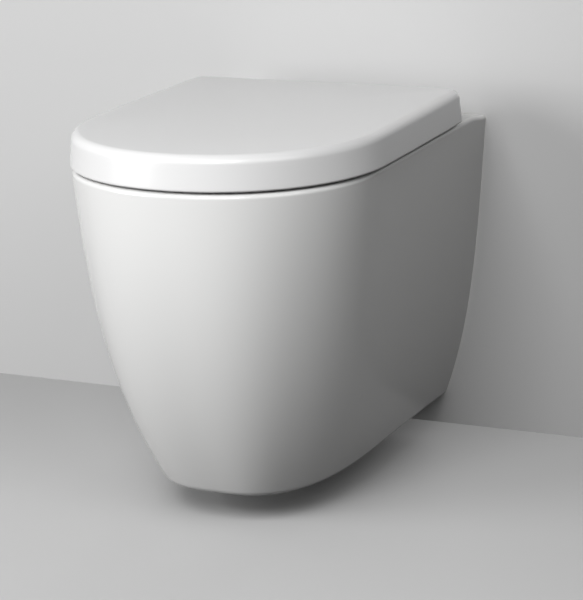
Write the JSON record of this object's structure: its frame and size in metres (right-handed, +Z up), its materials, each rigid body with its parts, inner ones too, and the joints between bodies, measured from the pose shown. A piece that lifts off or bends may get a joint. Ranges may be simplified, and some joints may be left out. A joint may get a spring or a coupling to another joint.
{
  "type": "wall hung toilet",
  "caption": "Wall hung rimless pan with a shrouded back, hidden wall brackets, and a soft-close seat and wrap-over lid that lift off their posts when the buttons are pressed.",
  "frame": {"origin": "midway between the two wall studs, in the face of the finished wall", "axes": "+Y points into the wall, +Z is up, +X is to the right as seen from the front"},
  "size_m": [0.3614, 0.4987, 0.406],
  "materials": {
    "glazed_ceramic": "smooth white glaze, high gloss",
    "duroplast": "white moulded urea plastic, gloss",
    "bracket_nylon": "dark glass-filled nylon, moulded",
    "brass": "turned",
    "stainless_steel": "turned and brushed",
    "chromed_zinc": "bright chrome plate on a zinc casting",
    "black_rubber": "matt",
    "damper_plastic": "grey acetal",
    "button_plastic": "light grey, gloss",
    "clear_grey_rubber": "pale grey, soft",
    "bush_plastic": "white acetal"
  },
  "bodies": {
    "pan_body": {"pan": "glazed_ceramic", "bracket_left": "bracket_nylon", "bracket_right": "bracket_nylon", "bracket_inserts": "brass", "clamp_washers": "stainless_steel", "clamp_screws": "stainless_steel", "deck_bush_left": "black_rubber", "deck_bush_right": "black_rubber", "bush_nuts": "brass", "base_gaskets": "black_rubber", "hinge_base_left": "stainless_steel", "hinge_base_right": "stainless_steel", "hinge_post_left": "stainless_steel", "hinge_post_right": "stainless_steel"},
    "hinge_carrier": {"hinge_block_left": "chromed_zinc", "hinge_block_right": "chromed_zinc", "seat_damper": "damper_plastic", "lid_damper": "damper_plastic", "seat_hinge_pin": "stainless_steel", "lid_hinge_pin": "stainless_steel", "latch_clip_left": "stainless_steel", "latch_clip_right": "stainless_steel"},
    "seat_body": {"seat_ring": "duroplast", "seat_bumpers": "clear_grey_rubber", "seat_damper_shaft": "damper_plastic", "seat_bush": "bush_plastic"},
    "lid_body": {"lid": "duroplast", "lid_bumpers": "clear_grey_rubber", "lid_damper_shaft": "damper_plastic", "lid_bush": "bush_plastic"},
    "button_left": {"release_button_left": "button_plastic"},
    "button_right": {"release_button_right": "button_plastic"}
  },
  "joints": [
    {"name": "seat_lift", "type": "slide", "parent": "pan_body", "child": "hinge_carrier", "axis": [0, 0, 1], "range_m": [0, 0.03]},
    {"name": "seat_hinge", "type": "hinge", "parent": "hinge_carrier", "child": "seat_body", "pos_m": [0, -0.085, 0.102], "axis": [-1, 0, 0], "range_deg": [0, 97]},
    {"name": "lid_hinge", "type": "hinge", "parent": "seat_body", "child": "lid_body", "pos_m": [0, -0.085, 0.102], "axis": [1, 0, 0], "range_deg": [-97, 0]},
    {"name": "left_button_press", "type": "slide", "parent": "hinge_carrier", "child": "button_left", "axis": [0, -1, 0], "range_m": [0, 0.003], "stiffness_N_per_m": 400, "springref_m": -0.003, "deforming": ["latch_clip_left"]},
    {"name": "right_button_press", "type": "slide", "parent": "hinge_carrier", "child": "button_right", "axis": [0, -1, 0], "range_m": [0, 0.003], "stiffness_N_per_m": 400, "springref_m": -0.003, "deforming": ["latch_clip_right"]}
  ]
}
